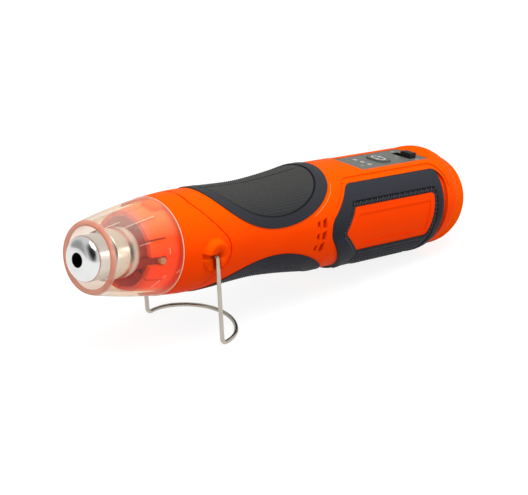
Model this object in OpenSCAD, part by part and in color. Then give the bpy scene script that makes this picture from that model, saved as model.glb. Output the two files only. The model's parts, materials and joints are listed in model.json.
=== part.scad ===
// Cordless embossing heat tool that stands nose-up on a folding wire stand.
// Every piece is drawn along X, mouth of the heat shield at x = 0 and tail towards +X, with
// Y across and Z up, and is then tipped onto the stand. The tabletop is z = 0.

/* [Heat shield] */
// Length of the clear shield from its mouth to its rim
shield_len = 37; // [33:0.5:41]
// Outer radius of the shield at its mouth
mouth_r = 16.1; // [15.6:0.1:16.8]
// Outer radius of the shield at its rim
rim_r = 22.2; // [21.8:0.1:22.6]
// Wall of the shield
shield_wall = 2.2; // [1.8:0.1:2.6]

/* [Housing] */
// Shield rim to the widest part of the nose
nose_len = 20.5; // [19:0.5:23]
// Radius at the widest part of the nose
shoulder_r = 23.35; // [23:0.05:23.8]
// Widest part of the nose to the waist
neck_len = 37.5; // [36:0.5:42]
// Radius of the waist
waist_r = 22.5; // [22.2:0.1:22.8]
// Waist to the start of the battery barrel
flare_len = 42; // [40:0.5:46]
// Length of the battery barrel
barrel_len = 91; // [90:0.5:98]
// Rounded run behind the barrel
tail_len = 11.5; // [10:0.5:13]
// Radius at the end of the rounded run
tail_r = 22.1; // [21.6:0.1:22.6]
// Lean of the tail's end face, in degrees
tail_tilt = 13; // [10:0.5:15]
// Wall of the housing, pockets for the rubber included
wall = 3.4; // [3.1:0.1:3.6]
// Open seam between the nose collar and the housing
seam_gap = 0.5; // [0.3:0.1:0.7]

/* [Nose collar] */
// Shield rim to the straight part of the seam
collar_len = 12.5; // [12:0.5:14]
// Radius of the round tip of the tongue on each side
tongue_r = 10.5; // [10:0.5:11]
// Straight part of the seam to the centre of the tongue's tip
tongue_reach = 6; // [5:0.5:7]
// Bore of the collar
collar_bore_r = 17.4; // [17:0.1:17.8]
// Front of the castellated spigot, measured from the mouth
spigot_front = 18.5; // [17.5:0.5:20]
// Number of slits in the spigot
slit_count = 12; // [8:2:12]
// Width of a slit
slit_w = 0.8; // [0.6:0.1:1]
// Radius of the stand boss at its foot
boss_foot_r = 7.4; // [7:0.1:7.8]
// Radius of the boss's flat face
boss_face_r = 5.4; // [5:0.1:5.8]
// Distance from the centre plane to the boss's face
boss_out = 25.9; // [25.7:0.1:26.3]

/* [Grips] */
// Depth of the pockets that hold the rubber
grip_pocket = 1.6; // [1.4:0.1:1.7]
// Height of the grips above the housing
grip_rise = 0.4; // [0.2:0.1:0.6]
// Width of the smooth border round each grip
grip_border = 5; // [4:0.1:6]
// Depth of the textured field inside the border
field_depth = 0.3; // [0.2:0.05:0.35]
// Radius of the upper grip's outline, seen from the side
upper_arc_r = 52; // [50:1:54]
// Height of the lowest point of the upper grip
upper_low = 5.8; // [5:0.1:6.6]
// Radius of the lower grip's outline, seen from the side
lower_arc_r = 64; // [62:1:66]
// Depth of the highest point of the lower grip
lower_low = 7.4; // [6.8:0.1:8]

/* [Side pads] */
// Height of the pads above the barrel at the sides
pad_rise = 0.8; // [0.6:0.1:1.2]
// Drop of the pads' centre below the tool's centre line
pad_drop = 1.2; // [1:0.1:1.4]
// Top of the barrel down to the pads' top edge
pad_below_top = 6.3; // [5.8:0.1:6.8]
// Width of the textured channel round the inset plate
channel_w = 2.8; // [2.2:0.1:3.2]
// Depth of the channel
channel_depth = 0.4; // [0.3:0.05:0.5]
// Corner radius of the pads
pad_corner = 8; // [6:0.5:9]
// Height of the inset plate's top edge
inset_top = 9.7; // [9:0.1:10.4]
// Depth of the inset plate's bottom edge
inset_bottom = 13; // [12.4:0.1:13.6]
// Width of the raised border round the inset plate
inset_border = 3.5; // [3:0.1:4]

/* [Rear cap] */
// Radius of the cap at its foot
cap_r = 24.2; // [23.8:0.1:24.4]
// Height of the cap's dome
cap_h = 21.5; // [20.5:0.5:22.5]
// Wall of the cap
cap_wall = 2.4; // [2:0.1:2.8]

/* [Control panel] */
// Length of the panel
panel_len = 53.4; // [52.5:0.1:54]
// Width of the panel
panel_w = 20.6; // [20:0.1:21.2]
// Top of the barrel down to the panel's face
panel_sink = 3.4; // [3.2:0.1:3.6]
// Length of the ramp in front of the panel
ramp_front = 8.5; // [7:0.5:9.5]
// Length of the ramp behind the panel
ramp_rear = 6; // [5:0.5:7]
// Panel to the end of the barrel
panel_inset = 3.1; // [2.6:0.1:3.6]
// Thickness of the panel
panel_t = 1.6; // [1.4:0.1:1.8]
// Width of the push button, along the tool
button_x = 8.6; // [8:0.1:9.4]
// Length of the push button, across the tool
button_y = 12.2; // [11.6:0.1:12.8]
// Height of the button above the panel
button_rise = 0.9; // [0.8:0.1:1.2]
// Travel of the push button
button_travel = 0.6; // [0.4:0.1:0.7]
// Width of the switch knob, along the tool
knob_x = 5; // [4.6:0.1:5.4]
// Length of the switch knob, across the tool
knob_y = 6.2; // [5.8:0.1:6.6]
// Height of the knob above the panel
knob_rise = 2.6; // [2.2:0.1:3]
// Travel of the switch knob
knob_travel = 5.6; // [5:0.1:6]
// Spacing of the indicator lamps
lamp_pitch = 4.7; // [4.3:0.1:5.1]
// Radius of an indicator lamp
lamp_r = 1.2; // [1:0.1:1.4]

/* [Nozzle and heater] */
// Outer radius of the nozzle
nozzle_r = 10.25; // [10:0.05:10.5]
// Radius of the nozzle's outlet
outlet_r = 3.3; // [3:0.1:3.6]
// Height of the nozzle's domed end
dome_h = 4.3; // [4:0.1:4.6]
// Sheet thickness of the nozzle and can
sheet = 0.7; // [0.6:0.05:0.8]
// Outer radius of the heater can
can_r = 11.4; // [11.3:0.1:11.7]
// Back of the heater can, measured from the mouth
can_back = 20.3; // [19.5:0.1:21]
// Outer radius of the mica tube
mica_r = 9.1; // [8.9:0.1:9.2]
// Number of turns of the heating coil
coil_turns = 10; // [6:1:12]

/* [Fan and motor] */
// Radius of the fan
fan_r = 16.8; // [16:0.1:17.4]
// Number of fan blades
blade_count = 7; // [5:1:9]
// Radius of the motor
motor_r = 12; // [11.6:0.1:12.2]
// Length of the motor
motor_len = 25; // [24:0.5:25.5]

/* [Battery] */
// Diameter of a cell
cell_d = 18.3; // [18:0.1:18.4]
// Length of a cell
cell_len = 65; // [64.5:0.1:65.2]
// Room between the lowest cell and the barrel's wall
cell_room = 1.2; // [1:0.1:1.8]

/* [Wire stand] */
// Diameter of the wire
wire_d = 2; // [1.8:0.1:2.1]
// Length of a leg, hinge to foot
leg_len = 44.4; // [42:0.1:47]
// Rearward lean of the legs, in degrees
leg_lean = 12.8; // [10:0.2:15]
// Distance from the centre plane to a leg
leg_out = 24.4; // [24.3:0.1:24.6]
// Depth of the loop at the foot
loop_depth = 22.6; // [21:0.1:24]
// Radius of the loop's corners
loop_corner_r = 16; // [14:0.5:17]
// Radius of the bends at the feet
foot_bend_r = 2.6; // [2.2:0.1:3]

/* [Hidden] */
$fn = 72;

// Clearances between separate pieces
fit_gap = 0.1;
move_gap = 0.3;
pin_gap = 0.05;

// Battery: three cells in a triangle, two above and one below, and the barrel round them
cell_r = cell_d / 2;
cell_pitch = cell_r + 0.1;
pack_drop = 1.6;
barrel_r = cell_r + 2 * cell_pitch / sqrt(3) + pack_drop + cell_room + wall;
pad_r = barrel_r + pad_rise;
pad_top = barrel_r - pad_below_top;
panel_z = barrel_r - panel_sink;

// Places along the tool
x_rim = shield_len;
x_shoulder = x_rim + nose_len;
x_waist = x_shoulder + neck_len;
x_barrel = x_waist + flare_len;
x_barrel_end = x_barrel + barrel_len;
x_tail = x_barrel_end + tail_len;
x_seam = x_rim + collar_len;
x_tongue = x_seam + tongue_reach;
reach = 60;

// Outer radius of the shield and housing at a place x along the tool
function shield_r(x) = let (t = x / shield_len) mouth_r + (rim_r - mouth_r) * t * (1.35 - 0.35 * t);
function ease(t) = (1 - cos(180 * t)) / 2;
tail_drop = barrel_r - tail_r;
tail_arc_r = (tail_len * tail_len + tail_drop * tail_drop) / (2 * tail_drop);
function body_r(x) =
    x <= x_shoulder ? rim_r + (shoulder_r - rim_r) * sin(90 * (x - x_rim) / nose_len)
    : x <= x_waist ? shoulder_r - (shoulder_r - waist_r) * ease((x - x_shoulder) / neck_len)
    : x <= x_barrel ? waist_r + (barrel_r - waist_r) * pow((x - x_waist) / flare_len, 1.5)
    : x <= x_barrel_end ? barrel_r
    : barrel_r - tail_arc_r + sqrt(pow(tail_arc_r, 2) - pow(x - x_barrel_end, 2));

function steps(a, b, n) = [for (i = [0:n - 1]) a + (b - a) * i / n];
function flipped(list) = [for (i = [len(list) - 1:-1:0]) list[i]];
body_stops = concat(steps(x_rim, x_shoulder, 4), steps(x_shoulder, x_waist, 6),
    steps(x_waist, x_barrel, 8), [x_barrel], steps(x_barrel_end, x_tail, 4), [x_tail]);
function body_line(rise) = [for (x = body_stops) [body_r(x) + rise, x]];

// A turned shape about the tool's centre line, from [radius, x] points
module turned(points) {
    rotate([0, 90, 0])
        rotate_extrude()
            polygon(points);
}

// The whole housing shape, filled, with its surface raised or lowered
module body_core(rise = 0) {
    turned(concat([[0, x_rim]], body_line(rise), [[0, x_tail]]));
}

// A plain round bar along X
module bar_x(r, x0, x1) {
    translate([x0, 0, 0])
        rotate([0, 90, 0])
            cylinder(r = r, h = x1 - x0);
}

// A plain tube along X
module tube_x(r, bore, x0, x1) {
    turned([[bore, x0], [r, x0], [r, x1], [bore, x1]]);
}

// A side-view outline (x across, z up) pushed out from the centre plane on the -Y side
module side_cut(out = reach) {
    rotate([90, 0, 0])
        linear_extrude(out)
            children();
}

// The same outline pushed through both sides
module through_cut() {
    translate([0, reach, 0])
        side_cut(2 * reach)
            children();
}

module mirrored(right) {
    mirror([0, right ? 1 : 0, 0])
        children();
}

// Everything on the -Y side of the centre plane
module left_side() {
    translate([-reach, -reach, -reach])
        cube([6 * reach, reach, 2 * reach]);
}

// Stand: hinge, feet and the pitch at which the feet and the tail are level
wire_r = wire_d / 2;
hinge_x = x_tongue + 0.3;
hinge_z = -0.5;
foot_x = hinge_x + leg_len * sin(leg_lean);
foot_z = hinge_z - leg_len * cos(leg_lean);
bend_x = foot_x + foot_bend_r * cos(leg_lean) - foot_bend_r * sin(leg_lean);
bend_z = foot_z + foot_bend_r * cos(leg_lean) + foot_bend_r * sin(leg_lean);

// Cap: a dome about an axis square to the leaning end face
x_face = x_tail - (tail_r + 0.4) * tan(tail_tilt);
cap_drop = 1.9;
cap_x = x_face - cap_drop * tan(tail_tilt);
function dome_r(d) = cap_r * sqrt(max(0, 1 - pow(d / cap_h, 2.5)));
cap_stops = [for (i = [0:11]) cap_h * sin(90 * i / 11)];

// Lowest points of the tail and of the feet when the tool is pitched by p degrees
pad_end_r = 6;
pad_rear = x_barrel_end - 2.5;
function cap_low(p) = -cap_x * sin(p) - cap_drop * cos(p)
    - max([for (d = cap_stops) d * sin(p + tail_tilt) + dome_r(d) * cos(p + tail_tilt)]);
function pad_low(p) = -(pad_rear - pad_end_r) * sin(p)
    - (pad_drop + pad_r - pad_end_r) * cos(p) - pad_end_r;
function tail_low(p) = min(cap_low(p), pad_low(p));
function foot_low(p) = -bend_x * sin(p) + bend_z * cos(p) - foot_bend_r - wire_r;
function level_pitch(lo, hi, n) = let (mid = (lo + hi) / 2)
    n == 0 ? mid
    : foot_low(mid) < tail_low(mid) ? level_pitch(mid, hi, n - 1)
    : level_pitch(lo, mid, n - 1);
pitch = level_pitch(-10, 25, 24);
tool_end = cap_x + cap_h * cos(tail_tilt);
mid_x = (tool_end - dome_h - sheet) * cos(pitch) / 2;

module on_stand() {
    translate([-mid_x, 0, -foot_low(pitch)])
        rotate([0, pitch, 0])
            children();
}

// Heat shield
shield_stops = steps(0, shield_len, 6);
pin_x = x_rim - 9.5;
key_len = 6.5;
key_w = 8;
key_drop = 0.4;
key_turn = 8;
lip_r = shield_wall / 2;
function shield_line(drop) = [for (x = concat([2], [for (s = shield_stops) if (s > 3) s], [shield_len]))
    [shield_r(x) - drop, x]];

module heat_shield() {
    color([0.97, 0.86, 0.8, 0.35]) {
        difference() {
            union() {
                turned(concat([for (a = [360:-30:180]) [shield_r(0) - lip_r - lip_r * cos(a), lip_r + lip_r * sin(a)]],
                    shield_line(0), flipped(shield_line(shield_wall))));
                for (side = [-1, 1])
                    shield_pin(side, 1.5);
            }
            for (side = [-1, 1])
                shield_pin(side, 0.9, 1);
            rotate([key_turn, 0, 0])
                translate([x_rim - key_len, -key_w / 2, 0])
                    cube([key_len + 1, key_w, rim_r + 2]);
        }
    }
}

// Small moulded tube that stands in from the shield's wall at each side
module shield_pin(side, r, over = 0) {
    translate([pin_x, side * (shield_r(pin_x) - shield_wall - 2 - over), 0])
        rotate([-90 * side, 0, 0])
            cylinder(r = r, h = 2.6 + over + (over > 0 ? shield_wall : 0), $fn = 24);
}

// Outline that parts the collar from the housing: straight, with a round tongue at the sides
tongue_z = tongue_r * sin(45) + x_tongue + tongue_r * cos(45) - x_seam;
module nose_outline() {
    polygon(concat([[x_rim - reach, -reach], [x_seam, -reach], [x_seam, -tongue_z]],
        [for (a = [-45:7.5:45]) [x_tongue + tongue_r * cos(a), tongue_r * sin(a)]],
        [[x_seam, tongue_z], [x_seam, reach], [x_rim - reach, reach]]));
}

// Nose collar
sleeve_r = shoulder_r - wall - 0.3;
sleeve_back = x_tongue + tongue_r + 4;
web_x = x_rim + 1.5;
web_t = 2;
slit_end = x_rim - 7;
spigot_wall = 2;
spigot_gap = 0.2;
notch_floor = 22;
notch_w = wire_d + 2 * move_gap;
detent_out = leg_out - wire_r - move_gap;
boss_rise = boss_out - shoulder_r + 1;
function spigot_r(x) = shield_r(min(x, x_rim)) - shield_wall - spigot_gap;
spigot_stops = [spigot_front, (spigot_front + x_rim) / 2, x_rim];

module nose_collar() {
    color("orangered") {
        difference() {
            union() {
                intersection() {
                    body_core();
                    through_cut() nose_outline();
                }
                bar_x(sleeve_r, x_seam - 2, sleeve_back);
                turned(concat([[0, spigot_front]], [for (x = spigot_stops) [spigot_r(x), x]],
                    [[spigot_r(x_rim), x_rim + 1], [0, x_rim + 1]]));
                shield_key();
                for (right = [false, true])
                    mirrored(right) stand_boss();
            }
            turned(concat([[0, spigot_front - 1], [spigot_r(spigot_front) - spigot_wall, spigot_front - 1]],
                [for (x = spigot_stops) [spigot_r(x) - spigot_wall, x]],
                [[collar_bore_r, web_x], [0, web_x]]));
            bar_x(collar_bore_r, web_x + web_t, sleeve_back + 1);
            bar_x(mica_r + fit_gap, web_x - 1, web_x + web_t + 1);
            web_vents();
            spigot_slits();
            for (right = [false, true])
                mirrored(right) stand_recess();
        }
    }
}

// Key that fills the notch in the shield's rim
module shield_key() {
    intersection() {
        rotate([key_turn, 0, 0])
            translate([x_rim - key_len + move_gap, -key_w / 2 + move_gap, 10])
                cube([key_len, key_w - 2 * move_gap, 20]);
        turned([[spigot_r(x_rim) - 1, x_rim - key_len], [shield_r(x_rim - key_len) - key_drop, x_rim - key_len],
            [rim_r - key_drop, x_rim], [rim_r - key_drop, x_rim + 0.5], [spigot_r(x_rim) - 1, x_rim + 0.5]]);
    }
}

// Slits between the petals, flared at the front, and a keyhole slot for the pin at each side
module spigot_slits() {
    slit_pitch = 360 / slit_count;
    slot_w = 3.8;
    keyhole_r = 2.3;
    for (i = [0:slit_count - 1])
        if (abs(sin(i * slit_pitch)) < 0.99)
            rotate([i * slit_pitch, 0, 0]) {
                translate([spigot_front - 1, -slit_w / 2, collar_bore_r - 6])
                    cube([slit_end - spigot_front + 1, slit_w, 9]);
                translate([spigot_front, 0, collar_bore_r - 6])
                    rotate([0, 0, 45])
                        cube([2.6, 2.6, 18], center = true);
            }
    for (side = [-1, 1])
        rotate([side * 90, 0, 0]) {
            translate([spigot_front - 1, -slot_w / 2, collar_bore_r - 7])
                cube([pin_x - spigot_front + 1, slot_w, 10]);
            translate([pin_x, 0, collar_bore_r - 7])
                cylinder(r = keyhole_r, h = 10, $fn = 32);
        }
}

// Air slots in the web that carries the can's stays
module web_vents() {
    for (a = [22.5:45:337.5])
        rotate([a, 0, 0])
            translate([web_x - 1, -1.4, mica_r + 3.1])
                cube([web_t + 2, 2.8, 3.6]);
}

// Raised boss on the side, its face square to the hinge
module stand_boss() {
    translate([hinge_x, -boss_out, hinge_z])
        rotate([-90, 0, 0]) {
            rotate_extrude()
                polygon(concat([[0, 0]], [for (a = [90:-15:0])
                    [boss_face_r + (boss_foot_r - boss_face_r) * cos(a), boss_rise * (1 - sin(a))]],
                    [[boss_foot_r, boss_rise + 1.6], [0, boss_rise + 1.6]]));
        }
}

// Hinge hole, the two notches for the leg, and the lower step between them
module stand_recess() {
    translate([hinge_x, 0, hinge_z]) {
        rotate([90, 0, 0])
            cylinder(r = wire_r + pin_gap, h = reach, $fn = 40);
        translate([0, -notch_floor, 0])
            rotate([90, 0, 0])
                cylinder(r = notch_w / 2 + 0.9, h = reach, $fn = 32);
        translate([-boss_foot_r - 0.6, -reach, -notch_w / 2])
            cube([boss_foot_r + 0.6, reach - notch_floor - 0.3, notch_w]);
        rotate([0, -leg_lean, 0])
            translate([-notch_w / 2, -reach, -30])
                cube([notch_w, reach - notch_floor - 0.3, 30]);
        side_cut_from(detent_out)
            polygon([[0, 0], [-10, 0], [-10, -10], [10 * tan(leg_lean), -10]]);
    }
}

// A side outline pushed outwards on the -Y side, starting at a distance from the centre plane
module side_cut_from(from) {
    translate([0, -from, 0])
        side_cut(reach - from)
            children();
}

// Outlines of the pads and of the plate inside them, seen from the side
pad_front = x_barrel - 3;
inset_front = pad_front + 10.2;
inset_rear = pad_rear - 11.7;
module pad_outline() {
    offset(r = pad_corner)
        offset(delta = -pad_corner)
            polygon([[pad_front + 16, pad_top], [pad_rear, pad_top], [pad_rear, -reach],
                [pad_front + 22, -reach], [pad_front + 22, -26], [pad_front, -3], [pad_front, 5]]);
}
// Sunk channel for the texture: a ring round the plate and a field under it, with a round lobe of frame in front
module channel_outline() {
    offset(delta = channel_w) inset_outline();
    difference() {
        translate([inset_front + 9, -reach])
            square([inset_rear + channel_w - inset_front - 9, reach - inset_bottom + 2]);
        translate([inset_front + 3, -inset_bottom - 7])
            circle(r = 9.5);
    }
}
module inset_outline() {
    offset(r = 2)
        offset(delta = -2)
            polygon([[inset_front + 7.3, inset_top], [inset_rear, inset_top],
                [inset_rear - 0.6, -inset_bottom], [inset_front + 13, -inset_bottom],
                [inset_front, -2.2]]);
}

// Grip outlines, seen from the side
module upper_outline(inset = 0) {
    translate([x_waist + 6, upper_low + upper_arc_r])
        circle(r = upper_arc_r - inset, $fn = 120);
}
module lower_outline(inset = 0) {
    translate([x_waist + 5, -lower_low - lower_arc_r])
        circle(r = lower_arc_r - inset, $fn = 120);
}

// Side vents: columns of [front edge, width, tilt], rows of [bottom, top]
vent_x = x_barrel - 12.6;
vent_columns = [[0, 1.7], [3.5, 2.5]];
vent_rows = [[2.2, 7.4], [-3.6, 1.4], [-9.4, -4.4]];
module vent_outline() {
    for (c = vent_columns)
        for (r = vent_rows) {
            short = c[0] == 0 ? 1 : 0;
            translate([vent_x + c[0], 0])
                polygon([[0, r[0] + short], [c[1], r[0] + short * 0.6],
                    [c[1], r[1] - short], [0, r[1] - short - c[1] * 0.5]]);
        }
}

// Control panel
panel_x1 = x_barrel_end - panel_inset;
panel_x0 = panel_x1 - panel_len;
panel_low = panel_z - panel_t;
ceiling_z = panel_low - 2;
board_t = 1.6;
board_over = 1.6;
board_top = ceiling_z - 3.2;
button_cx = panel_x1 - 28.4;
knob_cx = panel_x1 - 8.2;
knob_rest_y = -knob_travel / 2 - 0.4;
lamp_cx = panel_x0 + 12;
land_z = panel_z + 0.2;
module panel_pocket() {
    translate([panel_x0 - fit_gap, -panel_w / 2 - fit_gap, panel_low])
        cube([panel_len + 2 * fit_gap, panel_w + 2 * fit_gap, 5]);
    through_cut()
        polygon([[panel_x0 - 1, land_z], [panel_x0 - 1 - ramp_front, barrel_r + 0.2],
            [panel_x0 - 1 - ramp_front, reach], [panel_x1 + 1 + ramp_rear, reach],
            [panel_x1 + 1 + ramp_rear, barrel_r + 0.2], [panel_x1 + 1, land_z]]);
    translate([panel_x0 + 2, -panel_w / 2 + 1.6, ceiling_z - 1])
        cube([panel_len - 4, panel_w - 3.2, 4]);
}

// Screws: [x, z] places, all hidden under the rubber
screw_spots = [[x_waist - 15, 14.6], [x_waist - 15, -15.2], [x_waist + 22, 16.2],
    [x_waist + 22, -16.2], [x_barrel + 13, -1], [x_barrel + 28, 16.7]];
screw_boss_r = 3.1;
screw_r = 1.45;
screw_head_r = 2.6;
screw_head_h = 2.1;
screw_bite = 5;
function pocket_r(x) = x < x_barrel ? body_r(x) - grip_pocket : barrel_r - grip_pocket - 0.2;
function screw_seat(s) = sqrt(pow(pocket_r(s[0]), 2) - pow(abs(s[1]) + screw_head_r, 2)) - screw_head_h - 0.4;

// One half of the housing; the right half takes the screw heads
module housing_half(right) {
    difference() {
        union() {
            difference() {
                intersection() {
                    body_core();
                    left_side();
                }
                through_cut() offset(delta = seam_gap) nose_outline();
                difference() {
                    body_core(-wall);
                    translate([panel_x0 - ramp_front + 1, -panel_w / 2 - 4, ceiling_z])
                        cube([panel_len + ramp_front + 3, panel_w + 8, 20]);
                }
            }
            intersection() {
                screw_bosses();
                body_core(-1);
                left_side();
            }
            board_posts();
        }
        rubber_pockets();
        side_cut() vent_outline();
        panel_pocket();
        screw_holes(right);
        tail_cut();
    }
}

module screw_bosses() {
    for (s = screw_spots)
        translate([s[0], 0, s[1]])
            rotate([90, 0, 0])
                cylinder(r = screw_boss_r, h = reach, $fn = 32);
}

module screw_holes(right) {
    for (s = screw_spots)
        translate([s[0], 0, s[1]])
            rotate([90, 0, 0]) {
                cylinder(r = screw_r + pin_gap, h = right ? screw_seat(s) + 1 : screw_bite + 0.5, $fn = 24);
                if (right)
                    translate([0, 0, screw_seat(s)])
                        cylinder(r = screw_head_r + fit_gap, h = reach, $fn = 32);
            }
}

module board_posts() {
    for (x = [panel_x0 + 3, panel_x1 - 3])
        translate([x, -panel_w / 2 - 0.9, board_top])
            cylinder(r = 1.5, h = ceiling_z - board_top + 0.5, $fn = 24);
}

// The leaning end face of the tail
module tail_cut() {
    translate([x_face, -reach, 0])
        rotate([0, tail_tilt, 0])
            translate([0, 0, -reach])
                cube([reach, 2 * reach, 2 * reach]);
}

// Pockets for the grips, pads and inset, and the fine groove over the pad
module rubber_pockets() {
    difference() {
        union() {
            side_cut() upper_outline();
            side_cut() lower_outline();
        }
        body_core(-grip_pocket);
    }
    difference() {
        side_cut() pad_outline();
        bar_x(barrel_r - grip_pocket - 0.2, 0, x_tail + 5);
    }
    intersection() {
        side_cut()
            intersection() {
                difference() {
                    offset(delta = 2.1) pad_outline();
                    offset(delta = 1.3) pad_outline();
                }
                translate([0, 11]) square([4 * reach, reach]);
            }
        difference() {
            body_core(1);
            body_core(-0.5);
        }
    }
}

module left_housing() {
    color("orangered")
        housing_half(false);
}

module right_housing() {
    color("orangered")
        mirrored(true)
            housing_half(true);
}

// Rubber grips sit in the pockets and stand a little proud, their field sunk inside a border
module grip_half(right) {
    color([0.24, 0.25, 0.28])
        mirrored(right)
            difference() {
                intersection() {
                    body_core(grip_rise);
                    side_cut_from(fit_gap) children(0);
                }
                body_core(-grip_pocket);
                difference() {
                    side_cut() children(1);
                    body_core(grip_rise - field_depth);
                }
            }
}

module upper_grip_left() {
    grip_half(false) {
        upper_outline();
        upper_outline(grip_border);
    }
}

module upper_grip_right() {
    grip_half(true) {
        upper_outline();
        upper_outline(grip_border);
    }
}

module lower_grip_left() {
    grip_half(false) {
        lower_outline();
        lower_outline(grip_border);
    }
}

module lower_grip_right() {
    grip_half(true) {
        lower_outline();
        lower_outline(grip_border);
    }
}

// Side pad: a rubber boot round one side of the barrel, thicker towards the bottom
module side_pad(right) {
    color([0.22, 0.23, 0.26])
        mirrored(right)
            difference() {
                intersection() {
                    translate([0, 0, -pad_drop])
                        turned(concat([[0, pad_front - 1], [pad_r - 2, pad_front - 1]],
                            [for (a = [0:15:90]) [pad_r - 2 + 2 * sin(a), pad_front + 16 * (1 - cos(a))]],
                            [for (a = [0:15:90])
                                [pad_r - pad_end_r * (1 - cos(a)), pad_rear - pad_end_r * (1 - sin(a))]],
                            [[0, pad_rear]]));
                    side_cut_from(fit_gap) pad_outline();
                }
                bar_x(barrel_r - grip_pocket - 0.2, 0, x_tail + 5);
                side_cut() offset(delta = fit_gap) inset_outline();
                difference() {
                    side_cut() channel_outline();
                    translate([0, 0, -pad_drop])
                        bar_x(pad_r - channel_depth, 0, x_tail + 5);
                }
            }
}

module side_pad_left() {
    side_pad(false);
}

module side_pad_right() {
    side_pad(true);
}

// Inset plate: a hard plate in the pad's window, its field sunk inside a border
module side_inset(right) {
    color("orangered")
        mirrored(right)
            difference() {
                intersection() {
                    bar_x(barrel_r + 0.5, pad_front, pad_rear);
                    side_cut() inset_outline();
                }
                bar_x(barrel_r - grip_pocket - 0.2, 0, x_tail + 5);
                difference() {
                    side_cut() offset(delta = -inset_border) inset_outline();
                    bar_x(barrel_r, 0, x_tail + 5);
                }
            }
}

module side_inset_left() {
    side_inset(false);
}

module side_inset_right() {
    side_inset(true);
}

// Places a shape on the axis of the rear cap, z pointing out of the tail
module on_cap() {
    translate([cap_x, 0, -cap_drop])
        rotate([0, 90 + tail_tilt, 0])
            children();
}

// Rear cap: a dome with a spigot that enters the housing and a pocket for the socket
spigot_len = 2.6;
socket_w = 9;
socket_t = 3.3;
socket_len = 7.4;
socket_face = cap_h - 2.6;
module rear_cap() {
    color([1, 0.38, 0.05])
        on_cap()
            difference() {
                union() {
                    rotate_extrude()
                        polygon(concat([[0, 0]], [for (d = cap_stops) [dome_r(d), d]]));
                    translate([0, 0, -spigot_len])
                        cylinder(r = barrel_r - wall - 1.4, h = spigot_len + 0.4);
                }
                rotate_extrude()
                    polygon(concat([[0, -spigot_len - 0.4], [barrel_r - wall - 3, -spigot_len - 0.4]],
                        [for (d = cap_stops) if (d < cap_h - cap_wall - 3)
                            [min(dome_r(d) - cap_wall, barrel_r - wall - 3), d]],
                        [[0, cap_h - cap_wall - 3]]));
                translate([0, 0, socket_face])
                    slab_round(13, 7, 10);
                translate([0, 0, socket_face - 8])
                    slab_round(socket_w + 2 * fit_gap, socket_t + 2 * fit_gap, 10);
            }
}

// A slab with round ends, long side across the tool
module slab_round(w, t, h) {
    linear_extrude(h) {
        square([t, w - t], center = true);
        for (side = [-1, 1])
            translate([0, side * (w - t) / 2])
                circle(d = t, $fn = 32);
    }
}

module charging_socket() {
    color("silver")
        on_cap()
            translate([0, 0, socket_face - socket_len])
                difference() {
                    slab_round(socket_w, socket_t, socket_len);
                    translate([0, 0, 1])
                        difference() {
                            slab_round(socket_w - 0.6, socket_t - 0.6, socket_len);
                            translate([-0.35, -3.3, 0])
                                cube([0.7, 6.6, socket_len - 2]);
                        }
                }
}

// Control panel with its openings
module control_panel() {
    color([0.42, 0.43, 0.41])
        difference() {
            translate([panel_x0, -panel_w / 2, panel_low])
                cube([panel_len, panel_w, panel_t]);
            translate([button_cx, 0, panel_low - 1])
                button_block(move_gap, panel_t + 2);
            translate([knob_cx - knob_x / 2 - move_gap,
                knob_rest_y - knob_y / 2 - move_gap, panel_low - 1])
                cube([knob_x + 2 * move_gap, knob_y + knob_travel + 2 * move_gap, panel_t + 2]);
            lamps(fit_gap, panel_low - 1, panel_t + 2);
        }
}

// Push button's rounded block, widened by a gap
button_corner = 3.6;
module button_block(gap, h) {
    x = button_x + 2 * gap;
    y = button_y + 2 * gap;
    r = button_corner + gap;
    linear_extrude(h) {
        square([x, y - 2 * r], center = true);
        square([x - 2 * r, y], center = true);
        for (i = [-1, 1], j = [-1, 1])
            translate([i * (x / 2 - r), j * (y / 2 - r)])
                circle(r = r, $fn = 32);
    }
}

flange_top = panel_low - move_gap;
button_foot = board_top + 1.7 + move_gap + button_travel;
module push_button() {
    color([0.36, 0.37, 0.36]) {
        translate([button_cx, 0, flange_top - 0.6])
            button_block(0, panel_z + button_rise - flange_top + 0.6);
        translate([button_cx - button_x / 2 - 1, -button_y / 2, flange_top - 0.6])
            cube([button_x + 2, button_y, 0.6]);
        translate([button_cx, 0, button_foot])
            cylinder(r = 1.6, h = flange_top - button_foot - 0.3, $fn = 32);
    }
}

module button_switch() {
    color([0.1, 0.1, 0.1]) {
        translate([button_cx - 3, -3, board_top])
            cube([6, 6, 1.2]);
        translate([button_cx, 0, board_top])
            cylinder(r = 1.5, h = 1.7, $fn = 32);
    }
}

knob_foot = board_top + 1.4;
module switch_knob() {
    color([0.06, 0.06, 0.07])
        translate([knob_cx, knob_rest_y, knob_foot]) {
            translate([-knob_x / 2, -knob_y / 2, panel_low - knob_foot - 1])
                cube([knob_x, knob_y, knob_rise + panel_t + 1]);
            translate([-1, -1.5, 0])
                cube([2, 3, panel_low - knob_foot]);
        }
}

module slide_switch() {
    color("silver")
        difference() {
            translate([knob_cx - 3.4, -7.5, board_top])
                cube([6.8, 15, 2.9]);
            translate([knob_cx - 1 - move_gap, knob_rest_y - 1.5 - move_gap, knob_foot - move_gap])
                cube([2 + 2 * move_gap, 3 + knob_travel + 2 * move_gap, 5]);
        }
}

module lamps(gap, z0, h) {
    for (i = [-1:1])
        translate([lamp_cx, i * lamp_pitch, z0])
            cylinder(r = lamp_r + gap, h = h, $fn = 32);
}

module indicator_lamps() {
    color([0.9, 0.9, 0.85])
        lamps(0, board_top, panel_z + 0.2 - board_top);
}

module control_board() {
    color("darkgreen")
        translate([panel_x0 + 0.5, -panel_w / 2 - board_over, board_top - board_t])
            cube([panel_len - 1, panel_w + 2 * board_over, board_t]);
}

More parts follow.
